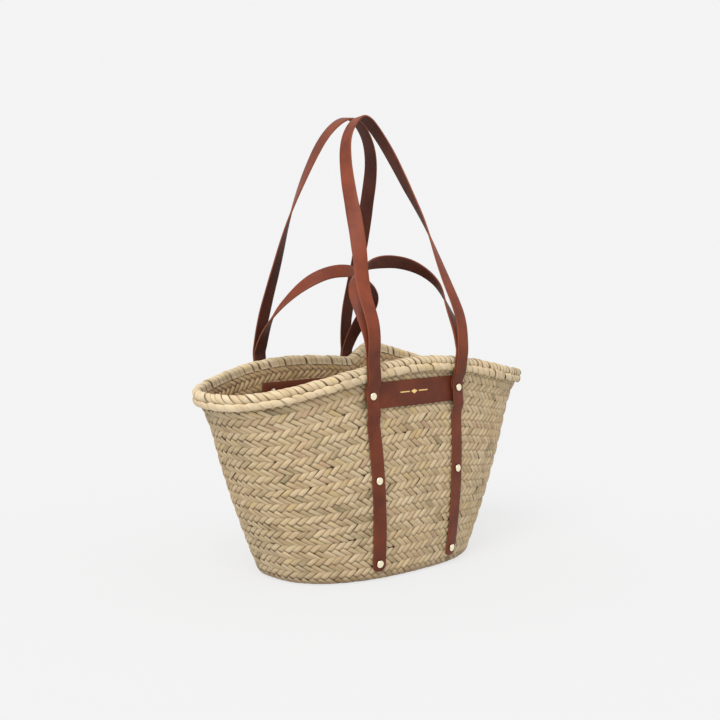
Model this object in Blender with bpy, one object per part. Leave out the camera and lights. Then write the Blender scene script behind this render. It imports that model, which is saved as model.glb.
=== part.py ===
"""Woven palm market basket with two long and two short leather handles.

Metres, +Z up. The origin is the middle of the base on the floor, X runs along the
long side and -Y is the front, the side with the wide leather band.
"""
import math

import bmesh
import bpy
import numpy as np
from mathutils import Matrix

# ---- driving dimensions -------------------------------------------------------
BASE_HALF_LENGTH = 0.159      # wall middle line just above the base corner
BASE_HALF_DEPTH = 0.097
RIM_HALF_LENGTH = 0.262       # straight wall line carried up to the rim
RIM_HALF_DEPTH_FRONT = 0.082
RIM_HALF_DEPTH_BACK = 0.120
END_FLARE = 0.0085            # extra lean of the two ends near the rim
RIM_LIP = 0.009               # and of the front and back, over the last bit
RIM_LIP_PART = 0.14
BELLY_LENGTH = 0.004
BELLY_DEPTH = 0.012
RIM_HEIGHT_MIDDLE = 0.2790    # top edge of the woven wall
RIM_HEIGHT_END = 0.2420
RIM_DRIFT_X = 0.0125          # the handmade rim sits a little off the base
RIM_DRIFT_Y = -0.004
CORNER = 0.006                # how far the wall draws in at the floor
CORNER_PART = 0.035           # part of the wall height taken by that corner
OVAL_POWER = 2.45

PINCH_X = 0.072               # the back rim dips inwards beside its right leg
PINCH_IN = 0.006
PINCH_DROP = 0.014
PINCH_LEFT = 0.150
PINCH_RIGHT = 0.029
LOBE_X = 0.121                # and stands up again beyond that leg
LOBE_RISE = 0.0135
LOBE_LEFT = 0.022
LOBE_RIGHT = 0.090

WALL = 0.0060                 # thickness of the plaited wall
ROWS = 13                     # plait rows up the wall
RIDGE = 0.0008                # how far each plait row swells
FIT_GAP = 0.0003              # between any two pieces that touch
LAYER_GAP = 0.0005            # between the two straps of a leg
LINING_GAP = 0.0009           # inner bands stand clear of the uneven wall

ROLL_RADIUS = 0.0060          # bound roll along the top of the rim
COLLAR_THICK = 0.0050         # bound ridge outside, just under the roll
COLLAR_HEIGHT = 0.0095

STRAP_WIDTH = 0.0200
STRAP_THICK = 0.0026
STRAP_EDGE = 0.0006
LEG_STATIONS = 30
LOOP_STATIONS = 37
LEG_FOOT = 0.0135             # height of the lower strap end
LEG_SPREAD_LOW = 0.0655       # half distance between two legs
LEG_SPREAD_HIGH = 0.0785
HINGE_SPREAD = 0.0828         # and where the handles bend at the rim
TAB_BELOW_RIVET = 0.0105      # short strap end below its rivet
HINGE_ABOVE_WALL = 0.0180     # bend line of the handles above the wall top
HINGE_OUT = 0.0080            # and outside the wall surface
BACK_SEAT = 0.0012            # back straps bridge the hollow of the dipped rim

BEND_GAP = 0.0032             # a handle loop starts this far above its bend line

BAND_HEIGHT = 0.0355
BAND_THICK = 0.0020
BAND_UNDER_LEG = 0.0090       # outer bands end under a leg, this far from its edge
BAND_PAST_LEG = 0.0080        # the inner bands run on past the leg
BACK_BAND_HEIGHT = 0.0240
INNER_BAND_HEIGHT = 0.0240

RIVET_LEVELS = (0.0240, 0.1340, 0.2440)
BACK_TOP_LOWER = 0.0100       # the back top rivets and bands sit under the dipped rim
RIVET_CAP = 0.0105
RIVET_RISE = 0.0024
RIVET_POST = 0.0030
RIVET_SEAT = 0.0006           # a cap stands off the bowed strap
RIVET_HOLE = RIVET_POST + 2 * FIT_GAP
BURR_OUTER = 0.0080
BURR_THICK = 0.0012

# A handle loop is given by a few stations: height above the bend line, half
# spread, how far it leans in over the mouth, and the turn of the strap in degrees.
FRONT_LONG = (
    (0.044, 0.0865, 0.008, 4),
    (0.087, 0.0820, 0.025, 14),
    (0.131, 0.0715, 0.039, 30),
    (0.176, 0.0640, 0.056, 52),
    (0.221, 0.0550, 0.078, 72),
    (0.267, 0.0430, 0.099, 88),
    (0.309, 0.0200, 0.113, 96),
    (0.322, 0.0000, 0.1145, 98),
)
BACK_LONG = (
    (0.034, 0.0800, 0.003, 2),
    (0.083, 0.0765, 0.016, 8),
    (0.131, 0.0745, 0.034, 20),
    (0.178, 0.0715, 0.050, 40),
    (0.225, 0.0650, 0.067, 62),
    (0.273, 0.0540, 0.086, 80),
    (0.317, 0.0280, 0.098, 92),
    (0.331, 0.0000, 0.101, 95),
)
FRONT_SHORT = (
    (0.020, 0.0840, 0.006, 5),
    (0.066, 0.0840, 0.030, 38),
    (0.090, 0.0790, 0.041, 70),
    (0.108, 0.0640, 0.052, 102),
    (0.121, 0.0360, 0.061, 134),
    (0.125, 0.0000, 0.064, 148),
)
BACK_SHORT = (
    (0.018, 0.0835, 0.007, 5),
    (0.052, 0.0860, 0.031, 38),
    (0.076, 0.0815, 0.055, 70),
    (0.097, 0.0660, 0.072, 102),
    (0.115, 0.0370, 0.085, 134),
    (0.121, 0.0000, 0.090, 148),
)
# The left branch of the front loops bows outwards, most at this height above the bend.
FRONT_BOW = 0.0120
FRONT_BOW_AT = 0.055
FRONT_BOW_REACH = 0.040

ROLL_FACETS = 8
AROUND = 80                   # facets round the oval


# ---- small helpers ------------------------------------------------------------
def signed_power(value, power):
    return np.sign(value) * np.abs(value) ** power


def bell(distance, left, right):
    """A smooth hump of height one that falls off at its own rate on each side."""
    reach = np.where(distance < 0, left, right)
    return np.exp(-((distance / reach) ** 2))


def unit_oval(count):
    """Points of the unit superellipse, evenly spaced along the basket's outline."""
    angle = np.linspace(0, 2 * math.pi, 4001)
    across = signed_power(np.cos(angle), 2 / OVAL_POWER)
    along = signed_power(np.sin(angle), 2 / OVAL_POWER)
    half_x = (BASE_HALF_LENGTH + RIM_HALF_LENGTH) / 2
    step = np.hypot(np.diff(across) * half_x, np.diff(along) * BASE_HALF_DEPTH)
    run = np.concatenate([[0], np.cumsum(step)])
    wanted = np.linspace(0, run[-1], count, endpoint=False)
    return np.interp(wanted, run, across), np.interp(wanted, run, along)


def smooth(value):
    value = np.clip(value, 0, 1)
    return value * value * (3 - 2 * value)


# ---- the wall surface ---------------------------------------------------------
def half_axes(level):
    """Half length and the front and back half depths at a part of the height."""
    swell = 4 * level * (1 - level)
    draw = np.clip(1 - level / CORNER_PART, 0, 1)
    tuck = CORNER * (1 - np.sqrt(1 - draw**2))
    flare = END_FLARE * np.clip((level - 0.8) / 0.2, 0, None) ** 1.5
    length = BASE_HALF_LENGTH + (RIM_HALF_LENGTH - BASE_HALF_LENGTH) * level
    front = BASE_HALF_DEPTH + (RIM_HALF_DEPTH_FRONT - BASE_HALF_DEPTH) * level
    back = BASE_HALF_DEPTH + (RIM_HALF_DEPTH_BACK - BASE_HALF_DEPTH) * level
    length = length + BELLY_LENGTH * swell + flare - tuck
    lip = RIM_LIP * np.clip((level - 1) / RIM_LIP_PART + 1, 0, None) ** 2
    fuller = BELLY_DEPTH * swell + lip - tuck
    return length, front + fuller, back + fuller


def wall_middle(across, along, level):
    """Middle of the wall for a unit outline point and a part of the height."""
    length, front, back = half_axes(level)
    x = across * length + RIM_DRIFT_X * level
    y = np.where(along < 0, front, back) * along + RIM_DRIFT_Y * level
    rise = np.cos(np.clip(np.abs(across), 0, 1) * math.pi / 2) ** 1.5
    z = level * (RIM_HEIGHT_END + (RIM_HEIGHT_MIDDLE - RIM_HEIGHT_END) * rise)
    rear = smooth(along * 3) * level**2
    pinch = bell(x - PINCH_X, PINCH_LEFT, PINCH_RIGHT) * rear
    lobe = bell(x - LOBE_X, LOBE_LEFT, LOBE_RIGHT) * rear
    z = z - PINCH_DROP * pinch + LOBE_RISE * lobe
    return np.stack([x, y - PINCH_IN * pinch, z], axis=-1)


def shell_frame(across, along, level):
    """Wall middle and outward normal for arrays of outline points."""
    step = 1e-3
    turn = np.arctan2(signed_power(along, OVAL_POWER / 2), signed_power(across, OVAL_POWER / 2))

    def at(angle, part):
        return wall_middle(
            signed_power(np.cos(angle), 2 / OVAL_POWER),
            signed_power(np.sin(angle), 2 / OVAL_POWER),
            part,
        )

    middle = wall_middle(across, along, level)
    round_way = at(turn + step, level) - at(turn - step, level)
    low = np.clip(level - step, 0, None)
    up_way = at(turn, level + step) - at(turn, low)
    normal = np.cross(round_way, up_way)
    normal /= np.linalg.norm(normal, axis=-1, keepdims=True)
    normal[..., 2] *= np.clip(np.asarray(level) / CORNER_PART, 0, 1)
    normal /= np.linalg.norm(normal, axis=-1, keepdims=True)
    return middle, normal


def wall_at(x, z, side):
    """Wall middle and normal at a given x and height; side is -1 front, +1 back."""
    level = z / RIM_HEIGHT_MIDDLE
    for _ in range(40):
        length = half_axes(level)[0]
        across = (x - RIM_DRIFT_X * level) / length
        along = side * (1 - abs(across) ** OVAL_POWER) ** (1 / OVAL_POWER)
        point = wall_middle(np.float64(across), np.float64(along), np.float64(level))
        level += (z - point[2]) / RIM_HEIGHT_MIDDLE
    middle, normal = shell_frame(np.array([across]), np.array([along]), np.array([level]))
    return middle[0], normal[0]


def rim_at(x, side):
    """Top edge of the wall at a given x."""
    length = half_axes(1.0)[0]
    across = (x - RIM_DRIFT_X) / length
    along = side * (1 - abs(across) ** OVAL_POWER) ** (1 / OVAL_POWER)
    return wall_middle(np.float64(across), np.float64(along), np.float64(1.0))


# ---- mesh makers --------------------------------------------------------------
def material(name, colour, roughness, metallic=0.0):
    made = bpy.data.materials.new(name)
    made.use_nodes = True
    shader = made.node_tree.nodes["Principled BSDF"]
    shader.inputs["Base Color"].default_value = (*colour, 1)
    shader.inputs["Roughness"].default_value = roughness
    shader.inputs["Metallic"].default_value = metallic
    return made


def add_object(name, points, faces, finish):
    mesh = bpy.data.meshes.new(name)
    mesh.from_pydata([tuple(map(float, p)) for p in points], [], [list(f) for f in faces])
    tidy = bmesh.new()
    tidy.from_mesh(mesh)
    bmesh.ops.recalc_face_normals(tidy, faces=tidy.faces)
    tidy.to_mesh(mesh)
    tidy.free()
    mesh.materials.append(finish)
    made = bpy.data.objects.new(name, mesh)
    bpy.context.scene.collection.objects.link(made)
    return made


def loft(rings, closed):
    """Points and faces through rings of equal length; open runs get end caps."""
    rings = np.asarray(rings)
    count, size = rings.shape[:2]
    faces = []
    for i in range(count if closed else count - 1):
        here, there = i * size, (i + 1) % count * size
        for j in range(size):
            k = (j + 1) % size
            faces.append((here + j, here + k, there + k, there + j))
    if not closed:
        faces.append(tuple(range(size))[::-1])
        faces.append(tuple((count - 1) * size + j for j in range(size)))
    return rings.reshape(-1, 3), faces


def strap_section(width, thick):
    edge = STRAP_EDGE
    w, t = width / 2, thick / 2
    return (
        (-w, -t + edge), (-w + edge, -t), (w - edge, -t), (w, -t + edge),
        (w, t - edge), (w - edge, t), (-w + edge, t), (-w, t - edge),
    )


def sweep_strap(name, middle, across, widths, thick, finish):
    """A flat strap through points, each with its own width direction and width."""
    middle = np.asarray(middle)
    tangent = np.gradient(middle, axis=0)
    tangent /= np.linalg.norm(tangent, axis=1, keepdims=True)
    across = np.asarray(across, float)
    across = across - (across * tangent).sum(1, keepdims=True) * tangent
    across /= np.linalg.norm(across, axis=1, keepdims=True)
    out = np.cross(across, tangent)
    rings = [
        [m + a * u + o * v for u, v in strap_section(w, thick)]
        for m, a, o, w in zip(middle, across, out, widths)
    ]
    return add_object(name, *loft(rings, False), finish)


def turned(name, profile, place, axis, finish, facets=8):
    """A closed (radius, height) profile turned round an axis at a place."""
    axis = np.asarray(axis) / np.linalg.norm(axis)
    side = np.cross(axis, (0, 0, 1.0))
    side /= np.linalg.norm(side)
    third = np.cross(axis, side)
    points, rows = [], []
    for radius, height in profile:
        if radius == 0:
            rows.append([len(points)] * facets)
            points.append(place + axis * height)
            continue
        rows.append(list(range(len(points), len(points) + facets)))
        for i in range(facets):
            angle = 2 * math.pi * i / facets
            ray = side * math.cos(angle) + third * math.sin(angle)
            points.append(place + axis * height + ray * radius)
    pairs = list(zip(rows, rows[1:]))
    if profile[0][0] != 0:
        pairs.append((rows[-1], rows[0]))
    faces = []
    for low, high in pairs:
        for i in range(facets):
            k = (i + 1) % facets
            face = [low[i], low[k], high[k], high[i]]
            face = [p for j, p in enumerate(face) if p not in face[:j]]
            if len(face) > 2:
                faces.append(face)
    return add_object(name, points, faces, finish)


def cut_hole(target, place, axis, reach):
    """Bores a rivet hole through a piece."""
    profile = ((0, -reach), (RIVET_HOLE / 2, -reach), (RIVET_HOLE / 2, reach), (0, reach))
    cutter = turned("cutter", profile, np.asarray(place), axis, FINISH["cutter"])
    bite = target.modifiers.new("bore", "BOOLEAN")
    bite.operation = "DIFFERENCE"
    bite.solver = "EXACT"
    bite.object = cutter
    bpy.context.view_layer.update()
    graph = bpy.context.evaluated_depsgraph_get()
    cut = bpy.data.meshes.new_from_object(target.evaluated_get(graph))
    target.modifiers.clear()
    target.data = cut
    bpy.data.objects.remove(cutter)


# ---- the basket ---------------------------------------------------------------
def add_wall():
    across, along = unit_oval(AROUND)
    rings = []
    inner_levels = [0, CORNER_PART / 2, CORNER_PART] + list(np.linspace(0.13, 1, ROWS // 2 + 1))
    inner_rings = len(inner_levels)
    for part in inner_levels[::-1]:
        level = np.full(AROUND, part)
        middle, normal = shell_frame(across, along, level)
        rings.append(middle - normal * WALL / 2)
    for i in range(2 * ROWS + 1):
        level = np.full(AROUND, i / (2 * ROWS))
        middle, normal = shell_frame(across, along, level)
        swell = RIDGE * (i % 2)
        rings.append(middle + normal * (WALL / 2 + swell))
    rings[inner_rings - 1][:, 2] = 0
    rings[inner_rings][:, 2] = 0
    rings = np.array(rings)
    points, faces = loft(rings, True)
    return add_object("basket_wall", points, faces, FINISH["palm"])


def add_base():
    """The oval plaited floor, just inside the wall's lowest row."""
    across, along = unit_oval(AROUND)
    middle, normal = shell_frame(across, along, np.full(AROUND, 1e-9))
    edge = middle - normal * (WALL / 2 + FIT_GAP)
    edge[:, 2] = 0
    top = edge + np.array([0, 0, WALL])
    return add_object("basket_base", *loft([edge, top], False), FINISH["palm"])


def add_rim():
    """The bound roll on the wall's top edge and the bound ridge outside it."""
    across, along = unit_oval(AROUND)
    middle, normal = shell_frame(across, along, np.full(AROUND, 1.0))
    lift = np.cross(np.roll(middle, -1, 0) - np.roll(middle, 1, 0), -normal)
    lift /= np.linalg.norm(lift, axis=1, keepdims=True)
    lift *= np.sign(lift[:, 2:])
    heart = middle + lift * (ROLL_RADIUS + 2 * FIT_GAP)
    rings = []
    for i in range(ROLL_FACETS):
        angle = 2 * math.pi * (i + 0.5) / ROLL_FACETS
        ray = normal * math.cos(angle) + lift * math.sin(angle)
        rings.append(heart + ray * ROLL_RADIUS)
    add_object("rim_roll", *loft(rings, True), FINISH["palm"])
    foot = np.full(AROUND, 1.0) - COLLAR_HEIGHT / RIM_HEIGHT_MIDDLE
    low, low_normal = shell_frame(across, along, foot)
    face = WALL / 2 + RIDGE + FIT_GAP
    rings = []
    for part, out in ((0.0, 0.0), (0.0, 0.55), (0.2, 0.95), (0.6, 1.0), (0.9, 0.6), (0.97, 0.0)):
        spot = low + (middle - low) * part
        ray = low_normal + (normal - low_normal) * part
        rings.append(spot + ray * (face + COLLAR_THICK * out))
    add_object("rim_collar", *loft(rings, True), FINISH["palm"])


# ---- straps, bands and rivets --------------------------------------------------
def rivet_level(index, side_y):
    """Height of one of a leg's three rivets."""
    top = index == len(RIVET_LEVELS) - 1
    return RIVET_LEVELS[index] - BACK_TOP_LOWER * (top and side_y > 0)


def leg_x(z, side_x):
    part = z / RIVET_LEVELS[-1]
    return side_x * (LEG_SPREAD_LOW + (LEG_SPREAD_HIGH - LEG_SPREAD_LOW) * part)


def stack(layer):
    """Distance from the wall's middle to the middle of a layer at the top rivet."""
    base = WALL / 2 + RIDGE + FIT_GAP
    if layer == "band":
        return base + BAND_THICK / 2
    base += BAND_THICK + FIT_GAP
    if layer == "tab":
        return base + STRAP_THICK / 2
    return base + STRAP_THICK + LAYER_GAP + STRAP_THICK / 2


def strap_line(side_x, side_y):
    """Middle line of a leg strap, foot to bend line, and its width and outward rays."""
    seat = BACK_SEAT * (side_y > 0)
    flat = WALL / 2 + RIDGE + FIT_GAP + STRAP_THICK / 2
    high = stack("leg") + seat
    over = WALL / 2 + RIDGE + COLLAR_THICK + 3 * FIT_GAP + LAYER_GAP + 1.5 * STRAP_THICK + seat
    rim = rim_at(leg_x(RIVET_LEVELS[-1], side_x), side_y)
    band_low = rivet_level(2, side_y) - BAND_HEIGHT / 2
    collar_low = rim[2] - COLLAR_HEIGHT
    points = []
    for z in np.linspace(LEG_FOOT, rim[2] - 0.001, LEG_STATIONS):
        middle, normal = wall_at(leg_x(z, side_x), z, side_y)
        out = flat + (high - flat) * smooth((z - band_low + 0.020) / 0.016)
        out += (over - high) * smooth((z - collar_low + 0.012) / 0.010)
        points.append(middle + normal * out)
    end = hinge_end(side_x, side_y)
    last = points[-1]
    for part in (0.3, 0.55, 0.8, 1.0):
        points.append(last + (end - last) * part)
    points = np.array(points)
    tangent = np.gradient(points, axis=0)
    tangent /= np.linalg.norm(tangent, axis=1, keepdims=True)
    out = np.array([0, side_y, 0]) - tangent * tangent[:, 1:2] * side_y
    out /= np.linalg.norm(out, axis=1, keepdims=True)
    rays = []
    for point, ray in zip(points, out):
        if point[2] < rim[2] - 0.012:
            normal = wall_at(point[0], point[2], side_y)[1]
        rays.append(normal if point[2] < rim[2] - 0.012 else ray * 0.5 + normal * 0.5)
    rays = np.array(rays)
    rays -= (rays * tangent).sum(1, keepdims=True) * tangent
    rays[-2:] = out[-2:]
    rays /= np.linalg.norm(rays, axis=1, keepdims=True)
    return points, np.cross(tangent, rays), rays


def leg_path(side_x, side_y, layer):
    """The long strap's line, or the short strap's end lying just inside it."""
    points, across, rays = strap_line(side_x, side_y)
    if layer == "tab":
        points = points - rays * (STRAP_THICK + LAYER_GAP)
        start = rivet_level(2, side_y) - TAB_BELOW_RIVET
        foot = [np.interp(start, points[:, 2], points[:, i]) for i in range(3)]
        keep = points[:, 2] > start + 0.002
        across = np.concatenate([across[keep][:1], across[keep]])
        points = np.concatenate([[foot], points[keep]])
    return points, across


def hinge_end(side_x, side_y, layer="leg"):
    """Where a strap meets the line its handle bends about, at the rim."""
    x = leg_x(RIVET_LEVELS[-1], side_x)
    rim = rim_at(x, side_y)
    out = WALL / 2 + HINGE_OUT + (STRAP_THICK + LAYER_GAP) * (layer == "leg")
    return np.array([side_x * HINGE_SPREAD, rim[1] + side_y * out, rim[2] + HINGE_ABOVE_WALL])


def foot_taper(points):
    """Full width, but rounded over the last centimetre at the lower end."""
    reach = STRAP_WIDTH / 2
    run = np.concatenate([[0], np.cumsum(np.linalg.norm(np.diff(points, axis=0), axis=1))])
    part = np.clip(1 - run / reach, 0, 1)
    return STRAP_WIDTH * (0.62 + 0.38 * np.sqrt(1 - part**2))


def loop_path(stations, side_y, layer):
    """Middle line and width directions of a handle loop, both branches."""
    left_end = hinge_end(-1, side_y, layer)
    right_end = hinge_end(1, side_y, layer)
    half = [(BEND_GAP, abs(left_end[0]), 0.0, 0.0)] + list(stations)
    keys = [(-s[1], s[0], s[2], s[3] * side_y) for s in half]
    keys += [(s[1], s[0], s[2], s[3] * side_y) for s in half[-2::-1]]
    keys = np.array(keys, float)
    bowed = (keys[1:-1, 0] < 0) & (side_y < 0)
    height = keys[1:-1, 1] - FRONT_BOW_AT
    keys[1:-1, 2] -= FRONT_BOW * bowed * bell(height, FRONT_BOW_REACH, FRONT_BOW_REACH)
    gap = np.linalg.norm(np.diff(keys[:, :3], axis=0), axis=1)
    knots = np.concatenate([[0], np.cumsum(gap)])
    fine = np.linspace(0, knots[-1], LOOP_STATIONS)
    x, rise, lean, turn = [spline(knots, keys[:, i], fine) for i in range(4)]
    share = np.clip((x - left_end[0]) / (right_end[0] - left_end[0]), 0, 1)
    y = left_end[1] + (right_end[1] - left_end[1]) * share - side_y * lean
    z = left_end[2] + (right_end[2] - left_end[2]) * share + rise
    middle = np.stack([x, y, z], axis=1)
    tangent = np.gradient(middle, axis=0)
    tangent /= np.linalg.norm(tangent, axis=1, keepdims=True)
    depth = np.array([0, 1.0, 0]) - tangent * tangent[:, 1:2]
    depth /= np.linalg.norm(depth, axis=1, keepdims=True)
    flat = np.cross(depth, tangent)
    angle = np.radians(turn)[:, None]
    return middle, flat * np.cos(angle) + depth * np.sin(angle)


def spline(knots, values, wanted):
    """Natural cubic through the knots."""
    n = len(knots)
    gap = np.diff(knots)
    system = np.zeros((n, n))
    rhs = np.zeros(n)
    system[0, 0] = system[-1, -1] = 1
    for i in range(1, n - 1):
        system[i, i - 1:i + 2] = gap[i - 1], 2 * (gap[i - 1] + gap[i]), gap[i]
        rise = (values[i + 1] - values[i]) / gap[i]
        rhs[i] = 6 * (rise - (values[i] - values[i - 1]) / gap[i - 1])
    bend = np.linalg.solve(system, rhs)
    i = np.clip(np.searchsorted(knots, wanted) - 1, 0, n - 2)
    a = (knots[i + 1] - wanted) / gap[i]
    b = (wanted - knots[i]) / gap[i]
    curve = (a**3 - a) * bend[i] + (b**3 - b) * bend[i + 1]
    return a * values[i] + b * values[i + 1] + curve * gap[i] ** 2 / 6


def add_band(name, side_y, offset, height, past):
    """A leather band along the wall between and under two legs."""
    reach = LEG_SPREAD_HIGH + STRAP_WIDTH / 2 + past
    rings = []
    for x in np.linspace(-reach, reach, 15):
        ring = []
        for u, v in ((-1, -1), (-0.33, -1), (0.33, -1), (1, -1), (1, 1), (0.33, 1), (-0.33, 1), (-1, 1)):
            z = rivet_level(2, side_y) + u * height / 2
            middle, normal = wall_at(x, z, side_y)
            ring.append(middle + normal * (offset + v * BAND_THICK / 2))
        rings.append(ring)
    return add_object(name, *loft(rings, False), FINISH["leather"])


def add_rivet(name, side_x, side_y, level, pieces):
    """A domed cap with its post, the holes it passes through and its inner burr."""
    z = rivet_level(level, side_y)
    top = level == len(RIVET_LEVELS) - 1
    middle, normal = wall_at(leg_x(z, side_x), z, side_y)
    if top:
        face = stack("leg") + BACK_SEAT * (side_y > 0) + STRAP_THICK / 2 + FIT_GAP
        inner = WALL / 2 + LINING_GAP + BAND_THICK + FIT_GAP
    else:
        face = WALL / 2 + RIDGE + 2 * FIT_GAP + STRAP_THICK
        inner = WALL / 2 + FIT_GAP
    face += RIVET_SEAT
    inner += FIT_GAP
    cap, post = RIVET_CAP / 2, RIVET_POST / 2
    end = -(inner + BURR_THICK + 0.0004)
    profile = (
        (0, face + RIVET_RISE), (0.45 * cap, face + 0.90 * RIVET_RISE),
        (0.80 * cap, face + 0.60 * RIVET_RISE), (cap, face + 0.15 * RIVET_RISE),
        (0.97 * cap, face), (post, face), (post, end), (0, end),
    )
    turned(name + "_rivet", profile, middle, normal, FINISH["brass"])
    hole = post + FIT_GAP
    profile = (
        (hole, -inner), (BURR_OUTER / 2, -inner),
        (BURR_OUTER / 2 - 0.0004, -inner - BURR_THICK), (hole, -inner - BURR_THICK),
    )
    turned(name + "_burr", profile, middle, normal, FINISH["brass"])
    for piece in pieces:
        cut_hole(piece, middle, normal, 0.030)


def add_handle_side(side_y, word, wall):
    """Everything on the front (-1) or the back (+1) of the basket."""
    height = BAND_HEIGHT if side_y < 0 else BACK_BAND_HEIGHT
    outer = add_band(word + "_outer_band", side_y, stack("band"), height, -BAND_UNDER_LEG)
    offset = -(WALL / 2 + LINING_GAP + BAND_THICK / 2)
    inner = add_band(word + "_inner_band", side_y, offset, INNER_BAND_HEIGHT, BAND_PAST_LEG)
    for side_x, hand in ((-1, "left"), (1, "right")):
        path, across = leg_path(side_x, side_y, "leg")
        name = word + "_" + hand
        leg = sweep_strap(
            name + "_leg", path, across, foot_taper(path), STRAP_THICK, FINISH["leather"])
        path, across = leg_path(side_x, side_y, "tab")
        tab = sweep_strap(
            name + "_tab", path, across, foot_taper(path), STRAP_THICK, FINISH["leather"])
        add_rivet(name + "_low", side_x, side_y, 0, (leg, wall))
        add_rivet(name + "_mid", side_x, side_y, 1, (leg, wall))
        add_rivet(name + "_top", side_x, side_y, 2, (leg, tab, outer, inner, wall))


def add_loop(name, stations, side_y, layer):
    """One moving handle loop. Both loops of a side bend about the long one's line."""
    hinge = (hinge_end(-1, side_y) + hinge_end(1, side_y)) / 2
    middle, across = loop_path(stations, side_y, layer)
    widths = np.full(len(middle), STRAP_WIDTH)
    loop = sweep_strap(name, middle, across, widths, STRAP_THICK, FINISH["leather"])
    loop.data.transform(Matrix.Translation(-hinge))
    loop.location = hinge
    return loop


for old in list(bpy.data.objects):
    bpy.data.objects.remove(old)

FINISH = {
    "palm": material("plaited palm", (0.58, 0.45, 0.27), 0.75),
    "leather": material("tan leather", (0.23, 0.075, 0.030), 0.45),
    "brass": material("pale brass", (0.83, 0.66, 0.36), 0.25, 1.0),
    "cutter": material("cutter", (0.5, 0.5, 0.5), 0.5),
}
add_base()
basket_wall = add_wall()
add_rim()
add_handle_side(-1, "front", basket_wall)
add_handle_side(1, "back", basket_wall)
add_loop("front_long_handle", FRONT_LONG, -1, "leg")
add_loop("front_short_handle", FRONT_SHORT, -1, "tab")
add_loop("back_long_handle", BACK_LONG, 1, "leg")
add_loop("back_short_handle", BACK_SHORT, 1, "tab")
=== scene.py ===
# %% [markdown]
# # A plaited market basket
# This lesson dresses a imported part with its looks. The part brings the sizes, the moving
# bodies and the hinges. The lesson brings the palm plait, the bound rim, the leather and
# the brass. Everything is in metres, with +Z up and the front of the basket towards -Y.

# %% Load the frame
import math

import bpy
import numpy as np
from mathutils import Matrix, Vector


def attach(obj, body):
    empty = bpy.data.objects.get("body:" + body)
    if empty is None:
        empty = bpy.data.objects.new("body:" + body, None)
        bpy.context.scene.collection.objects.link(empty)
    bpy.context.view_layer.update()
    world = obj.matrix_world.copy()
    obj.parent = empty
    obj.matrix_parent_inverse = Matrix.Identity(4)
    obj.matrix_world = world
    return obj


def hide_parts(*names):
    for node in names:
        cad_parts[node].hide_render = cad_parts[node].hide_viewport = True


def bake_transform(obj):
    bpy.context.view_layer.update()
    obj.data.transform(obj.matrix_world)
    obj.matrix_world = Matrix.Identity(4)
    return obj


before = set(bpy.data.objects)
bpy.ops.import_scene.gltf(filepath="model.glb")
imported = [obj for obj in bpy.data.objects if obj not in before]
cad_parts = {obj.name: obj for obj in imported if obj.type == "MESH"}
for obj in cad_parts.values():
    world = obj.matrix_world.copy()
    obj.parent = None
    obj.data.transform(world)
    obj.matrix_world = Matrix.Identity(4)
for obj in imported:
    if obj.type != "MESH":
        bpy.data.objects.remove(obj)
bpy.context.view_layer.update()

# %% [markdown]
# ## The wall as a surface
# A basket wall is one smooth surface, and every strip of palm lies on it. So the first
# thing to have is a function that turns a place on the wall (how far round, how far up)
# into a point and an outward direction. A sculpted mesh would look right too, but the
# strips could not be laid on it in rows. The formula is the part's own, with its sizes.

# %% Sizes of the wall
BASE_HALF_LENGTH, BASE_HALF_DEPTH = 0.159, 0.097
RIM_HALF_LENGTH, RIM_HALF_DEPTH_FRONT, RIM_HALF_DEPTH_BACK = 0.262, 0.082, 0.120
END_FLARE, RIM_LIP, RIM_LIP_PART = 0.0085, 0.009, 0.14
BELLY_LENGTH, BELLY_DEPTH = 0.004, 0.012
RIM_HEIGHT_MIDDLE, RIM_HEIGHT_END = 0.2790, 0.2420
RIM_DRIFT_X, RIM_DRIFT_Y = 0.0125, -0.004
CORNER, CORNER_PART, OVAL_POWER = 0.006, 0.035, 2.45
PINCH_X, PINCH_IN, PINCH_DROP, PINCH_LEFT, PINCH_RIGHT = 0.072, 0.006, 0.014, 0.150, 0.029
LOBE_X, LOBE_RISE, LOBE_LEFT, LOBE_RIGHT = 0.121, 0.0135, 0.022, 0.090
WALL, ROWS, RIDGE, FIT_GAP, LAYER_GAP = 0.0060, 13, 0.0008, 0.0003, 0.0005


def smooth(value):
    """Rises from 0 to 1 without a kink at either end."""
    value = np.clip(value, 0, 1)
    return value * value * (3 - 2 * value)


def bell(distance, left, right):
    """A smooth hump of height one that falls off at its own rate on each side."""
    return np.exp(-((distance / np.where(distance < 0, left, right)) ** 2))


def signed_power(value, power):
    return np.sign(value) * np.abs(value) ** power


def half_axes(level):
    """Half length, and front and back half depths, at a part of the height."""
    swell = 4 * level * (1 - level)
    draw = np.clip(1 - level / CORNER_PART, 0, 1)
    tuck = CORNER * (1 - np.sqrt(1 - draw**2))
    flare = END_FLARE * np.clip((level - 0.8) / 0.2, 0, None) ** 1.5
    length = BASE_HALF_LENGTH + (RIM_HALF_LENGTH - BASE_HALF_LENGTH) * level
    front = BASE_HALF_DEPTH + (RIM_HALF_DEPTH_FRONT - BASE_HALF_DEPTH) * level
    back = BASE_HALF_DEPTH + (RIM_HALF_DEPTH_BACK - BASE_HALF_DEPTH) * level
    lip = RIM_LIP * np.clip((level - 1) / RIM_LIP_PART + 1, 0, None) ** 2
    fuller = BELLY_DEPTH * swell + lip - tuck
    return length + BELLY_LENGTH * swell + flare - tuck, front + fuller, back + fuller


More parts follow.
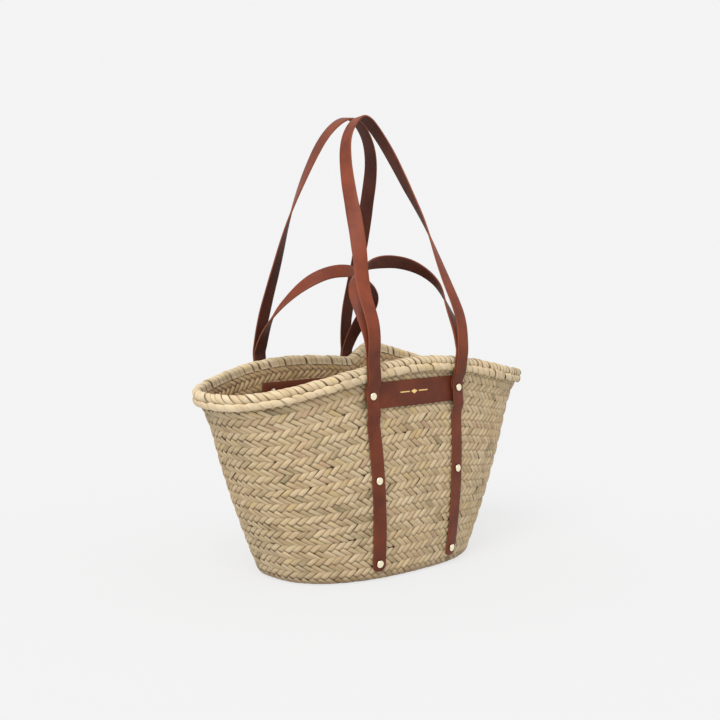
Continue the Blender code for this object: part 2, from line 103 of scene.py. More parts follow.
def wall_middle(across, along, level):
    """Middle of the wall's thickness for a unit outline point and a part of the height."""
    length, front, back = half_axes(level)
    x = across * length + RIM_DRIFT_X * level
    y = np.where(along < 0, front, back) * along + RIM_DRIFT_Y * level
    rise = np.cos(np.clip(np.abs(across), 0, 1) * math.pi / 2) ** 1.5
    z = level * (RIM_HEIGHT_END + (RIM_HEIGHT_MIDDLE - RIM_HEIGHT_END) * rise)
    rear = smooth(along * 3) * level**2
    pinch = bell(x - PINCH_X, PINCH_LEFT, PINCH_RIGHT) * rear
    lobe = bell(x - LOBE_X, LOBE_LEFT, LOBE_RIGHT) * rear
    z = z - PINCH_DROP * pinch + LOBE_RISE * lobe
    return np.stack([x, y - PINCH_IN * pinch, z], axis=-1)


def outline(angle):
    """The unit superellipse that the basket's plan follows."""
    power = 2 / OVAL_POWER
    return signed_power(np.cos(angle), power), signed_power(np.sin(angle), power)


def wall_frame(angle, level):
    """Wall middle and outward normal at an angle round the plan and a part of the height."""
    step = 1e-3
    middle = wall_middle(*outline(angle), level)
    ahead, behind = outline(angle + step), outline(angle - step)
    round_way = wall_middle(*ahead, level) - wall_middle(*behind, level)
    low = np.clip(level - step, 0, None)
    up_way = wall_middle(*outline(angle), level + step) - wall_middle(*outline(angle), low)
    normal = np.cross(round_way, up_way)
    normal /= np.linalg.norm(normal, axis=-1, keepdims=True)
    normal[..., 2] *= np.clip(np.asarray(level) / CORNER_PART, 0, 1)
    normal /= np.linalg.norm(normal, axis=-1, keepdims=True)
    return middle, normal


def even_angles(level):
    """A function from a share of the way round to an angle, and the length of the way."""
    angle = np.linspace(0, 2 * math.pi, 2881)
    points = wall_middle(*outline(angle), np.full(angle.shape, float(level)))
    run = np.linalg.norm(np.diff(points, axis=0), axis=1)
    run = np.concatenate([[0], np.cumsum(run)])

    def at(share):
        turns = np.floor(share)
        return np.interp((share - turns) * run[-1], run, angle) + turns * 2 * math.pi

    return at, run[-1]


for part in (0.0, 0.5, 1.0):
    print("way round at", part, "is", round(even_angles(part)[1], 3), "m")

# %% [markdown]
# ## One mesh from many strips
# The basket shows several thousand strips of palm. As separate objects they would be slow
# and hard to keep together. So each strip is a small grid of points, and a helper joins all
# the grids of one piece into one mesh. It also stores, on each point, where it is on its
# own strip (metres along, share across), a random number for the strip, and how much
# painted shade it gets in a slit. So the material can draw fibres along every strip, give
# each one its own colour, and paint shade, with a little dust, where strips meet.

# %% Grid helper
draw = np.random.default_rng(20)


def add_attribute(mesh, name, kind, values):
    made = mesh.attributes.new(name, kind, "POINT")
    key = "vector" if kind == "FLOAT_VECTOR" else "value"
    made.data.foreach_set(key, np.asarray(values, np.float32).ravel())


def add_grids(name, points, on_strip, tone, in_slit, finish, turned=False):
    """One smooth mesh from grids of points, shaped (grids, rows, columns, 3)."""
    grids, rows, columns = points.shape[:3]
    index = np.arange(grids * rows * columns).reshape(grids, rows, columns)
    corners = [index[:, :-1, :-1], index[:, :-1, 1:], index[:, 1:, 1:], index[:, 1:, :-1]]
    quads = np.stack(corners[::-1] if turned else corners, -1).reshape(-1, 4)
    mesh = bpy.data.meshes.new(name)
    mesh.vertices.add(index.size)
    mesh.vertices.foreach_set("co", points.astype(np.float32).ravel())
    mesh.loops.add(quads.size)
    mesh.loops.foreach_set("vertex_index", quads.ravel())
    mesh.polygons.add(len(quads))
    mesh.polygons.foreach_set("loop_start", np.arange(0, quads.size, 4))
    mesh.update(calc_edges=True)
    mesh.shade_smooth()
    add_attribute(mesh, "on_strip", "FLOAT_VECTOR", on_strip)
    add_attribute(mesh, "tone", "FLOAT", tone)
    add_attribute(mesh, "in_slit", "FLOAT", in_slit)
    mesh.materials.append(finish)
    made = bpy.data.objects.new(name, mesh)
    bpy.context.scene.collection.objects.link(made)
    print(name, grids, "strips,", len(quads), "faces")
    return made


# %% [markdown]
# ## Shader maths as expressions
# A material is a graph of nodes, but maths reads better as maths. The class below wraps an
# output socket, so that `1 - mask * 0.3` builds its Math nodes. One method makes every
# other kind of node: its settings first, then its inputs.

# %% Sockets and nodes
class Wire:
    """An output socket that takes part in Python sums."""

    def __init__(self, tree, socket):
        self.tree, self.socket = tree, socket

    def maths(self, operation, left, right):
        made = self.tree.make("ShaderNodeMath", {"operation": operation}, {0: left, 1: right})
        return made.out("Value")

    def __add__(self, other):
        return self.maths("ADD", self, other)

    def __sub__(self, other):
        return self.maths("SUBTRACT", self, other)

    def __mul__(self, other):
        return self.maths("MULTIPLY", self, other)

    def __truediv__(self, other):
        return self.maths("DIVIDE", self, other)

    def __pow__(self, other):
        return self.maths("POWER", self, other)

    def __rsub__(self, other):
        return self.maths("SUBTRACT", other, self)

    __radd__, __rmul__ = __add__, __mul__


class Node:
    """A node whose outputs are asked for by name."""

    def __init__(self, tree, node):
        self.tree, self.node = tree, node

    def out(self, name):
        found = [s for s in self.node.outputs if s.name == name and s.enabled]
        return Wire(self.tree, found[0])


class Finish:
    """A material, its shader and the one method that adds a node."""

    def __init__(self, name, **constants):
        self.material = bpy.data.materials.new(name)
        self.material.use_nodes = True
        self.nodes = self.material.node_tree.nodes
        self.links = self.material.node_tree.links
        self.shader = self.nodes["Principled BSDF"]
        for socket, value in constants.items():
            self.shader.inputs[socket.replace("_", " ")].default_value = value

    def make(self, kind, settings=None, inputs=None):
        node = self.nodes.new(kind)
        for key, value in (settings or {}).items():
            if key == "stops":
                self.set_stops(node.color_ramp, value)
            else:
                setattr(node, key, value)
        for key, value in (inputs or {}).items():
            socket = node.inputs[key] if isinstance(key, int) else self.enabled(node, key)
            self.feed(socket, value)
        return Node(self, node)

    def enabled(self, node, name):
        return [s for s in node.inputs if s.name == name and s.enabled][0]

    def feed(self, socket, value):
        if isinstance(value, Wire):
            self.links.new(value.socket, socket)
        else:
            socket.default_value = value

    def set_stops(self, ramp, stops):
        while len(ramp.elements) < len(stops):
            ramp.elements.new(0.5)
        for element, (place, colour) in zip(ramp.elements, stops):
            element.position = place
            element.color = (*colour, 1)

    def attribute(self, name, output="Fac"):
        return self.make("ShaderNodeAttribute", {"attribute_name": name}).out(output)

    def noise(self, where, scale, detail=2.0, rough=0.5):
        inputs = {"Vector": where, "Scale": scale, "Detail": detail, "Roughness": rough}
        return self.make("ShaderNodeTexNoise", None, inputs).out("Fac")

    def stretch(self, vector, factors):
        settings = {"operation": "MULTIPLY"}
        return self.make("ShaderNodeVectorMath", settings, {0: vector, 1: factors}).out("Vector")

    def ramp(self, value, stops):
        return self.make("ShaderNodeValToRGB", {"stops": stops}, {"Fac": value}).out("Color")

    def share(self, value, low, high):
        """0 below low, 1 above high, and smooth in between."""
        settings = {"interpolation_type": "SMOOTHSTEP"}
        inputs = {"Value": value, "From Min": low, "From Max": high}
        return self.make("ShaderNodeMapRange", settings, inputs).out("Result")

    def mix(self, factor, one, other, how="MIX"):
        settings = {"data_type": "RGBA", "blend_type": how}
        inputs = {"Factor": factor, "A": one, "B": other}
        return self.make("ShaderNodeMix", settings, inputs).out("Result")

    def bump(self, height, strength, distance, under=None):
        inputs = {"Height": height, "Strength": strength, "Distance": distance}
        if under is not None:
            inputs["Normal"] = under
        return self.make("ShaderNodeBump", None, inputs).out("Normal")

    def set(self, **wires):
        for socket, value in wires.items():
            self.feed(self.shader.inputs[socket.replace("_", " ")], value)


def rgb(red, green, blue):
    """A colour given as it looks on a screen, 0 to 255, in the linear values of light."""
    return tuple(((v / 255 + 0.055) / 1.055) ** 2.4 for v in (red, green, blue))


def rgba(red, green, blue):
    return (*rgb(red, green, blue), 1)


# %% [markdown]
# ## Dry palm leaf
# Each strip is a folded palm leaf: straw coloured, with fine ribs along its length. Some
# strips are greener, pinker or yellower than the next, and some parts of the basket are
# greyer. The colour comes from the strip's own number through a ramp, with fibres from a
# noise that is stretched along the strip, and slow patches over the whole basket. Light and
# shade are painted in too: the wall, rim and inside copies differ by a tint, and the slits
# and the plait near the floor are darkened.

# %% Palm finish
def palm_finish(name, painted_light_tint):
    palm = Finish(name, Roughness=0.62, Specular_IOR_Level=0.35)
    strip = palm.attribute("on_strip", "Vector")
    tone = palm.attribute("tone")
    place = palm.make("ShaderNodeTexCoord").out("Object")
    slit = palm.attribute("in_slit")
    stops = (
        (0.00, rgb(152, 132, 100)),
        (0.12, rgb(178, 155, 120)),
        (0.32, rgb(197, 172, 135)),
        (0.50, rgb(208, 182, 145)),
        (0.68, rgb(215, 192, 158)),
        (0.80, rgb(206, 180, 132)),
        (0.90, rgb(199, 168, 137)),
        (1.00, rgb(186, 153, 123)),
    )
    own = palm.ramp(tone, stops)
    fibre = palm.noise(palm.stretch(strip, (90.0, 9.0, 1.0)), 1.0, 3.0, 0.6)
    streak = palm.noise(palm.stretch(strip, (22.0, 3.4, 1.0)), 1.0, 2.0)
    cloud = palm.noise(place, 14.0, 3.0)
    grey = palm.share(cloud, 0.52, 0.70)
    warm = palm.share(cloud, 0.45, 0.30)
    colour = palm.mix(grey * 0.28, own, rgba(168, 152, 124))
    colour = palm.mix(warm * 0.22, colour, rgba(204, 160, 116))
    colour = palm.mix(palm.share(streak, 0.56, 0.74) * 0.42, colour, rgba(160, 124, 84))
    colour = palm.mix(palm.share(fibre, 0.45, 0.75) * 0.28, colour, rgba(238, 222, 186))
    colour = palm.mix(palm.share(fibre, 0.45, 0.28) * 0.25, colour, rgba(150, 116, 78))
    # Painted shade, with a little dust, darkens the slits where strips meet.
    colour = palm.mix(slit * 0.78, colour, rgba(70, 50, 32))
    # Painted shade: the plait darkens towards the bottom, where the basket meets the floor.
    height = palm.make("ShaderNodeSeparateXYZ", None, {"Vector": place}).out("Z")
    colour = palm.mix((1 - palm.share(height, 0.001, 0.016)) * 0.55, colour, rgba(104, 74, 50))
    # Painted light and shade: the tint sets how brightly each copy seems lit.
    wear_and_painted_light = palm.mix(1.0, colour, (*painted_light_tint, 1), "MULTIPLY")
    palm.set(Base_Color=wear_and_painted_light, Roughness=0.56 + fibre * 0.2)
    palm.set(Normal=palm.bump(fibre * 0.7 + streak * 0.5, 0.5, 0.0006))
    return palm.material


# One palm in three tints for painted light and shade: the rim brightest, the wall darker, the
# inside darkest.
PALM = palm_finish("palm leaf", (0.79, 0.79, 0.76))
PALM_RIM = palm_finish("palm leaf on the rim", (0.98, 1.01, 1.02))
PALM_INSIDE = palm_finish("palm leaf inside", (0.70, 0.63, 0.54))
PALM_SHADE = Finish("palm in shade", Roughness=0.9)
shade_cloud = PALM_SHADE.noise(PALM_SHADE.make("ShaderNodeTexCoord").out("Object"), 260.0, 3.0)
PALM_SHADE.set(Base_Color=PALM_SHADE.mix(shade_cloud, rgba(58, 44, 28), rgba(92, 72, 48)))
PALM_SHADE = PALM_SHADE.material
print("palm materials made")

# %% [markdown]
# ## Thirteen rows of plait
# The wall is one long flat braid of five strips, wound round and sewn edge to edge. In such
# a braid each strip goes over two and under two, so every row shows two bands of short
# floats, one leaning left and one leaning right. It could be a bump map, but the floats
# stand out at the basket's edges and throw small shadows. So each float is a little crowned
# grid that dives under its neighbours where the braid goes under.
#
# The braid is easiest in its own lattice: `a` counts the strips that lean left, `b` the
# ones that lean right. Half of `a - b` runs round the basket and `a + b`, from 0 to 5, runs
# up one row.

# %% Floats of the braid
STRIP_PITCH = 0.0106
CROSSING = 0.00085          # half the rise between over and under
CROWN = 0.00045
FLOAT_ACROSS = np.array([-0.02, 0.08, 0.5, 0.92, 1.02])


def float_grids(count, run):
    """Lattice place, height and strip place of `count` floats of one band."""
    across = FLOAT_ACROSS[None, None, :]
    run = np.array(run)[None, :, None]
    number = np.arange(count)[:, None, None]
    width = 1 + draw.uniform(-0.06, 0.03, (count, 1, 1))
    shift = draw.normal(0, 0.035, (count, 1, 1))
    swing = draw.normal(0, 0.05, (count, 1, 1))
    tilt = draw.normal(0, 0.00016, (count, 1, 1))
    lift = draw.normal(0, 0.00014, (count, 1, 1))
    short = np.where(draw.random((count, 1, 1)) < 0.12, 0.40, 0.0)
    short = short + draw.uniform(0, 0.10, (count, 1, 1))
    inside = 0.5 + (across - 0.5) * width
    tip = 0.45 * np.clip((across - 0.60) / 0.40, 0, 1) ** 2
    tip = tip + 0.20 * np.clip((0.30 - across) / 0.30, 0, 1) ** 2
    start = -0.36 + tip + short
    end = across + 2.75
    rise = start + (end - start) * run
    over = rise - across
    dive = smooth((over - 1.55) / 0.50)
    fold = 1 - smooth((rise - start) / 0.55)
    edge = np.abs(2 * across - 1)
    height = CROSSING * (1 - 2 * dive) - 0.0007 * np.clip(over - 2, 0, None)
    height = height + CROWN * (1 - edge**2.5) * (1 - 0.5 * dive) + tilt * (2 * across - 1) + lift
    height = height - 0.0007 * fold - 0.0007 * (edge > 1)
    along_row = number + inside - rise / 2 + shift + swing * (rise / 2.5 - 0.6)
    grid = np.broadcast_arrays(along_row, rise, height)
    metres = rise * STRIP_PITCH * 0.62 + number * 0.173
    place = np.stack(np.broadcast_arrays(metres, across * 0.1 + number * 0.37, number * 0.71), -1)
    # Painted shade: darker at the sunk edges, the start and the dive under of each float.
    slit = np.clip(0.85 * (edge > 1) + 0.45 * fold**3 + 0.75 * dive**3, 0, 1)
    return (*grid, place, slit)


def strip_tones(count):
    """A random tone for each strip, in short runs, as leaves of one lot are used up."""
    lot = np.repeat(draw.random(count // 3 + 1), 3)[:count]
    return np.clip(0.50 + draw.normal(0, 0.17, count) + (lot - 0.5) * 0.35, 0, 1)


FINE_RUN = (0, 0.08, 0.22, 0.42, 0.60, 0.68, 0.76, 0.85, 1)
PLAIN_RUN = (0, 0.15, 0.40, 0.62, 0.76, 1)


def plait_row(round_at, length, low, high, out_of, run):
    """Both bands of one row; out_of turns (angle, level, height) into points."""
    count = int(round(length / STRIP_PITCH))
    phase = draw.random()
    made = []
    for lean in (-1, 1):
        along_row, rise, height, place, slit = float_grids(count, run)
        if lean > 0:
            along_row, rise = along_row + 0.5, 5 - rise
        share = (along_row + phase) / count
        level = low + (high - low) * rise / 5
        swell = np.sin(np.clip(rise / 5, 0, 1) * math.pi)
        points = out_of(round_at(share), level, height, swell)
        tone = np.broadcast_to(strip_tones(count)[:, None, None], rise.shape)
        made.append((points, place, tone, slit))
    return made


def join_rows(rows):
    return [np.concatenate([r[i] for r in rows]) for i in range(4)]


# %% Outer and inner face of the wall
OUTER_SEAT, OUTER_SWELL = 0.0015, 0.0011


def outer_point(angle, level, height, swell):
    middle, normal = wall_frame(angle, np.clip(level, 0.004, 1.02))
    return middle + normal * (OUTER_SEAT + OUTER_SWELL * swell + height)[..., None]


def inner_point(angle, level, height, swell):
    middle, normal = wall_frame(angle, np.clip(level, 0.012, 1.02))
    return middle - normal * (0.0010 + 0.0008 * swell + height * 0.8)[..., None]


outer_rows, inner_rows = [], []
for row in range(ROWS):
    round_at, length = even_angles((row + 0.5) / ROWS)
    low, high = row / ROWS, (row + 1) / ROWS
    outer_rows += plait_row(round_at, length, low, high, outer_point, FINE_RUN)
    inner_rows += plait_row(round_at, length, low, high, inner_point, PLAIN_RUN)
# Two halves keep each mesh to a size that exports well.
half = len(outer_rows) // 2
lower_plait = add_grids("plait_outside_lower", *join_rows(outer_rows[:half]), PALM)
upper_plait = add_grids("plait_outside_upper", *join_rows(outer_rows[half:]), PALM)
inner_plait = add_grids("plait_inside", *join_rows(inner_rows), PALM_INSIDE, turned=True)
for piece in (lower_plait, upper_plait, inner_plait):
    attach(piece, "basket")
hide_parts("basket_wall")

# %% [markdown]
# ## The dark behind the slits
# Between the strips one sees into the braid, where no light comes. A thin closed shell in
# the middle of the wall, in the colour of shaded palm, stands for those inner layers.

# %% Shell between the faces
shell_angle = np.linspace(0, 2 * math.pi, 241)
shell_level = np.concatenate([np.linspace(0.002, 1.016, 40), np.linspace(1.016, 0.002, 40)])
shell_side = np.concatenate([np.full(40, 0.0002), np.full(40, -0.0002)])
grid_angle, grid_level = np.meshgrid(shell_angle, shell_level)
middle, normal = wall_frame(grid_angle, grid_level)
shell_points = (middle + normal * shell_side[:, None, None])[None]
none = shell_points[..., 0] * 0
shell = add_grids("plait_core", shell_points, shell_points * 0, none, none, PALM_SHADE)
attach(shell, "basket")

# %% [markdown]
# ## The floor of the basket
# The braid starts as a straight run in the middle of the floor and winds outwards, so the
# floor shows rings of plait round a short seam. The same floats are laid on flat rings:
# once facing up and once facing down.

# %% Plait of the floor
FLOOR_INSET = 0.005
FLOOR_ROWS = 4


def floor_row(row, facing, seat):
    """Rings that shrink by one row width from the wall towards the middle seam."""
    depth = (BASE_HALF_DEPTH - CORNER - FLOOR_INSET) / FLOOR_ROWS
    half_length = BASE_HALF_LENGTH - CORNER - FLOOR_INSET

    def ring(angle, inward):
        side = BASE_HALF_DEPTH - CORNER - FLOOR_INSET - inward
        across, along = outline(angle)
        return across * (half_length - inward), along * np.clip(side, 0.0002, None)

    angle = np.linspace(0, 2 * math.pi, 1441)
    x, y = ring(angle, (row + 0.5) * depth)
    run = np.concatenate([[0], np.cumsum(np.hypot(np.diff(x), np.diff(y)))])

    def round_at(share):
        turns = np.floor(share)
        return np.interp((share - turns) * run[-1], run, angle) + turns * 2 * math.pi

    def point(angle, inward, height, swell):
        x, y = ring(angle, np.clip(inward, 0, FLOOR_ROWS * depth - 0.0005))
        return np.stack([x, y, seat + facing * (height * 0.8 + 0.0006 * swell)], -1)

    return plait_row(round_at, run[-1], row * depth, (row + 1) * depth, point, PLAIN_RUN)


floor_up, floor_down = [], []
for row in range(FLOOR_ROWS):
    floor_up += floor_row(row, 1, 0.0046)
    floor_down += floor_row(row, -1, 0.0022)
floor_top = add_grids("floor_inside", *join_rows(floor_up), PALM, turned=True)
floor_under = add_grids("floor_underside", *join_rows(floor_down), PALM)
core_angle = np.linspace(0, 2 * math.pi, 97)
across, along = outline(core_angle)
rings = [
    np.stack([across * BASE_HALF_LENGTH * s, along * BASE_HALF_DEPTH * s, across * 0 + z], -1)
    for s, z in ((0.0, 0.0029), (0.95, 0.0029), (0.95, 0.0039), (0.0, 0.0039))
]
core_points = np.array(rings)[None]
none = core_points[..., 0] * 0
floor_core = add_grids("floor_core", core_points, core_points * 0, none, none, PALM_SHADE)
for piece in (floor_top, floor_under, floor_core):
    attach(piece, "basket")
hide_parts("basket_base")

# %% [markdown]
# ## The bound rim
# The top edge is a thick cord of palm with wide strips wound round it at a slant. Under it,
# on the outside, runs a second ridge of longer, smoother wraps that lie like shingles. Each
# wrap is one grid bent round the cord; its edges sink, so that neighbours leave slits.

# %% Roll on the rim
ROLL_RADIUS, ROLL_SEAT = 0.0060, 0.0006
rim_at, rim_length = even_angles(1.0)


def rim_frame(angle, level=1.0):
    """Middle, normal and the direction up the wall at the rim."""
    middle, normal = wall_frame(angle, np.full(np.shape(angle), level))
    step = wall_middle(*outline(angle + 1e-3), level) - wall_middle(*outline(angle - 1e-3), level)
    up = np.cross(step, -normal)
    up /= np.linalg.norm(up, axis=-1, keepdims=True)
    return middle, normal, up * np.sign(up[..., 2:])


def leaf_place(run, across, number):
    """Where on the leaf each point of a wrap is cut from."""
    spots = np.broadcast_arrays(run, across * 0.16 + number * 0.5, number * 0.7)
    return np.stack(spots, -1)


def wrap_tones(count, shape):
    tone = np.clip(0.60 + 0.10 * draw.normal(0, 1, (count, 1, 1)), 0, 1)
    return np.broadcast_to(tone, shape)


WRAP_PITCH = 0.0098
RUN_DOWN = 0.0085
wraps = int(round(rim_length / WRAP_PITCH))
# The path of a wrap over the cord: round it, then straight down the inside of the wall.
turn = np.radians(np.linspace(-80, 180, 18))
down = np.linspace(0, 1, 6)[1:]
path_out = np.concatenate([np.cos(turn), -1 + 0.42 * smooth(down)])[None, :, None]
path_up = np.concatenate([np.sin(turn), -RUN_DOWN / ROLL_RADIUS * down])[None, :, None]
path_turn = np.concatenate([turn, math.pi + 0.9 * down])[None, :, None]
across = np.array([-0.04, 0.03, 0.11, 0.50, 0.84, 0.95, 1.03])[None, None, :]
# Painted shade: the edges of each wrap are darkened where it meets its neighbour.
in_slit = np.array([1.0, 0.6, 0.0, 0.0, 0.0, 0.85, 1.0])[None, None, :]
number = np.arange(wraps)[:, None, None]
vary = draw.normal(0, 1, (5, wraps, 1, 1))
slant = (math.pi / 2 - path_turn) / (math.pi / 2) * (0.62 + 0.05 * vary[0])
share = (number + across * (1 + 0.05 * vary[1]) + slant + 0.06 * vary[2]) / wraps
edge = np.abs(2 * across - 1)
height = 0.0007 * (1 - np.clip(edge, 0, 1) ** 2.6) - 0.0014 * (edge > 1) + 0.0003 * vary[3]
height = height - 0.0005 * across + 0.00022 * vary[4] * np.cos(path_turn * 2)
grow = 1 + (height - 0.0004) / ROLL_RADIUS
middle, normal, up = rim_frame(rim_at(share))
heart = middle + up * (ROLL_RADIUS + ROLL_SEAT)
# Only the part on the cord grows with the wrap's height; the run down keeps its length.
grow_up = np.where(path_turn < math.pi, grow, 1.0)
bent = normal * (path_out * grow)[..., None] + up * (path_up * grow_up)[..., None]
roll_points = heart + ROLL_RADIUS * bent
roll_strip = leaf_place(path_turn * 0.0065 + number * 0.21, across, number)
roll_tone = wrap_tones(wraps, share.shape)
roll_slit_shade = np.broadcast_to(in_slit, share.shape)
roll = add_grids("rim_wraps", roll_points, roll_strip, roll_tone, roll_slit_shade, PALM_RIM, turned=True)
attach(roll, "basket")
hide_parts("rim_roll")

# %% Cord under the wraps
cord_share = np.linspace(0, 1, 301)[None, :]
cord_turn = np.radians(np.linspace(0, 360, 17))[:, None]
middle, normal, up = rim_frame(rim_at(cord_share))
cord_radius = ROLL_RADIUS - 0.0013
heart = middle + up * (ROLL_RADIUS + ROLL_SEAT)
ring = normal * np.cos(cord_turn)[..., None] + up * np.sin(cord_turn)[..., None]
cord_points = (heart + ring * cord_radius)[None]
none = cord_points[..., 0] * 0
rim_cord = add_grids("rim_core", cord_points, cord_points * 0, none, none, PALM_SHADE)
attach(rim_cord, "basket")

# %% Ridge under the roll
COLLAR_THICK, COLLAR_HEIGHT = 0.0050, 0.0095
SHINGLE_PITCH = 0.0140
RIDGE_MIDDLE = 0.0070       # above the foot of the ridge on the wall
shingles = int(round(rim_length / SHINGLE_PITCH))
bend = np.linspace(0, 1, 12)[None, :, None]
across = np.array([-0.10, 0.0, 0.2, 0.45, 0.7, 0.92, 1.12])[None, None, :]
number = np.arange(shingles)[:, None, None]
vary = draw.normal(0, 1, (5, shingles, 1, 1))
wave = np.sin(np.clip(across, 0, 1) * math.pi)
half_height = 0.0044 + 0.0005 * vary[0] + 0.0006 * vary[3] * (across - 0.5)
fall = np.radians(132 - 264 * bend)
section_out = COLLAR_THICK * (0.5 + 0.5 * np.cos(fall)) * (1 + 0.08 * vary[1])
section_up = RIDGE_MIDDLE + half_height * np.sin(fall)
section_up = section_up + 0.0020 * wave * np.clip(np.sin(fall), 0, 1)
lay = 0.0011 * (1 - across) - 0.0011 * (across < -0.05) - 0.0006 * (across > 1.05)
lay = lay + 0.0005 * wave
share = (number + across + 0.95 * (bend - 0.5) + 0.10 * vary[2]) / shingles
middle = rim_frame(rim_at(share))[0]
foot_level = 1 - COLLAR_HEIGHT / RIM_HEIGHT_MIDDLE
foot, normal = wall_frame(rim_at(share), np.full(share.shape, foot_level))
rise = (section_up / COLLAR_HEIGHT)[..., None]
out = (WALL / 2 + RIDGE - 0.0008 + section_out + lay * np.sin(bend * math.pi))[..., None]
collar_points = foot + (middle - foot) * rise + normal * out
collar_strip = leaf_place(bend * 0.02 + number * 0.31, across, number)
collar_tone = wrap_tones(shingles, share.shape)
# Painted shade: the sunk edges and the lower end of each shingle are darkened.
collar_slit_shade = 0.8 * (across < -0.02) + 0.5 * (across > 1.05) + 0.6 * (bend > 0.95)
collar_slit_shade = np.broadcast_to(np.clip(collar_slit_shade, 0, 1), share.shape)
collar_looks = (collar_strip, collar_tone, collar_slit_shade, PALM_RIM)
collar = add_grids("rim_ridge_wraps", collar_points, *collar_looks)
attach(collar, "basket")
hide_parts("rim_collar")

# %% [markdown]
# ## Vegetable-tanned leather
# The straps are thick tan leather, smooth and slightly waxed on the outside, with a paler
# cut edge. The colour wanders slowly, small pores and creases show in the gloss, and the
# cut edge is picked out by a number that the strap's mesh carries on its points. A second
# number darkens the legs and bands below the rim against the handled loops: painted shade,
# as they get less light than the loops.

# %% Leather finish
def leather_finish(name, outer, dark, red, rough):
    hide = Finish(name, Roughness=rough, Specular_IOR_Level=0.22, Coat_Roughness=0.35)
    place = hide.make("ShaderNodeTexCoord").out("Object")
    cut = hide.attribute("cut_edge")
    legs = hide.attribute("on_leg")
    cloud = hide.noise(place, 22.0, 4.0, 0.6)
    grain = hide.noise(place, 900.0, 3.0, 0.6)
    pores = hide.make(
        "ShaderNodeTexVoronoi",
        {"feature": "DISTANCE_TO_EDGE"},
        {"Vector": place, "Scale": 780.0},
    )
    pores = hide.share(pores.out("Distance"), 0.0, 0.16)
    colour = hide.mix(hide.share(cloud, 0.30, 0.70), dark, outer)
    colour = hide.mix(hide.share(cloud, 0.62, 0.80) * 0.35, colour, red)
    colour = hide.mix((1 - pores) * 0.30, colour, dark)
    colour = hide.mix(hide.share(grain, 0.55, 0.75) * 0.15, colour, rgba(176, 96, 60))
    colour = hide.mix(hide.share(cut, 0.50, 0.90) * 0.50, colour, rgba(152, 88, 60))
    # Painted shade: legs and bands are darker than the loops.
    shaded_colour = hide.mix(1.0, colour, (0.70, 0.70, 0.62, 1), "MULTIPLY")
    colour = hide.mix(legs, colour, shaded_colour)
    hide.set(Base_Color=colour, Roughness=rough - 0.06 + grain * 0.18)
    hide.set(Coat_Weight=0.04 * (1 - cut))
    hide.set(Normal=hide.bump(pores * 0.6 + grain * 0.6 + cloud * 0.5, 0.35, 0.0004))
    return hide.material


LEATHER = leather_finish(
    "tan leather", rgba(132, 62, 36), rgba(102, 46, 29), rgba(146, 70, 38), 0.46
)
FLESH = leather_finish(
    "leather inside", rgba(90, 46, 32), rgba(72, 36, 26), rgba(98, 50, 34), 0.62
)
print("leather materials made")

# %% [markdown]
# ## Straps that bend at the rim
# A long strap is one piece: up one leg, over as a loop, and down the other leg. The part
# holds it as two legs and a loop that turns on the rim. Here it is one mesh again, swept
# along the same line with rounded edges.

# %% Line of a leg
STRAP_WIDTH, STRAP_THICK = 0.0200, 0.0026
LEG_FOOT, LEG_SPREAD_LOW, LEG_SPREAD_HIGH = 0.0135, 0.0655, 0.0785
HINGE_SPREAD, HINGE_ABOVE_WALL, HINGE_OUT = 0.0828, 0.0180, 0.0080
TAB_BELOW_RIVET, BACK_SEAT, BEND_GAP = 0.0105, 0.0012, 0.0032
BAND_HEIGHT, BACK_BAND_HEIGHT, INNER_BAND_HEIGHT = 0.0355, 0.0240, 0.0240
BAND_THICK, BAND_PAST_LEG, BAND_UNDER_LEG, LINING_GAP = 0.0020, 0.0080, 0.0090, 0.0009
RIVET_LEVELS, BACK_TOP_LOWER = (0.0240, 0.1340, 0.2440), 0.0100


def wall_at(x, z, side):
    """Wall middle and normal at a given x and height; side is -1 front, +1 back."""
    level = z / RIM_HEIGHT_MIDDLE
    for _ in range(40):
        across = (x - RIM_DRIFT_X * level) / half_axes(level)[0]
        along = side * (1 - abs(across) ** OVAL_POWER) ** (1 / OVAL_POWER)
        point = wall_middle(np.float64(across), np.float64(along), np.float64(level))
        level += (z - point[2]) / RIM_HEIGHT_MIDDLE
    power = OVAL_POWER / 2
    angle = np.arctan2(signed_power(along, power), signed_power(across, power))
    middle, normal = wall_frame(np.array([angle]), np.array([level]))
    return middle[0], normal[0]


def rivet_level(index, side):
    return RIVET_LEVELS[index] - BACK_TOP_LOWER * (index == 2 and side > 0)


def leg_x(z, hand):
    part = z / RIVET_LEVELS[-1]
    return hand * (LEG_SPREAD_LOW + (LEG_SPREAD_HIGH - LEG_SPREAD_LOW) * part)


def rim_point(x, side):
    across = (x - RIM_DRIFT_X) / half_axes(1.0)[0]
    along = side * (1 - abs(across) ** OVAL_POWER) ** (1 / OVAL_POWER)
    return wall_middle(np.float64(across), np.float64(along), np.float64(1.0))


def hinge_end(hand, side, layer):
    rim = rim_point(leg_x(RIVET_LEVELS[-1], hand), side)
    out = WALL / 2 + HINGE_OUT + (STRAP_THICK + LAYER_GAP) * (layer == "leg")
    return np.array([hand * HINGE_SPREAD, rim[1] + side * out, rim[2] + HINGE_ABOVE_WALL])


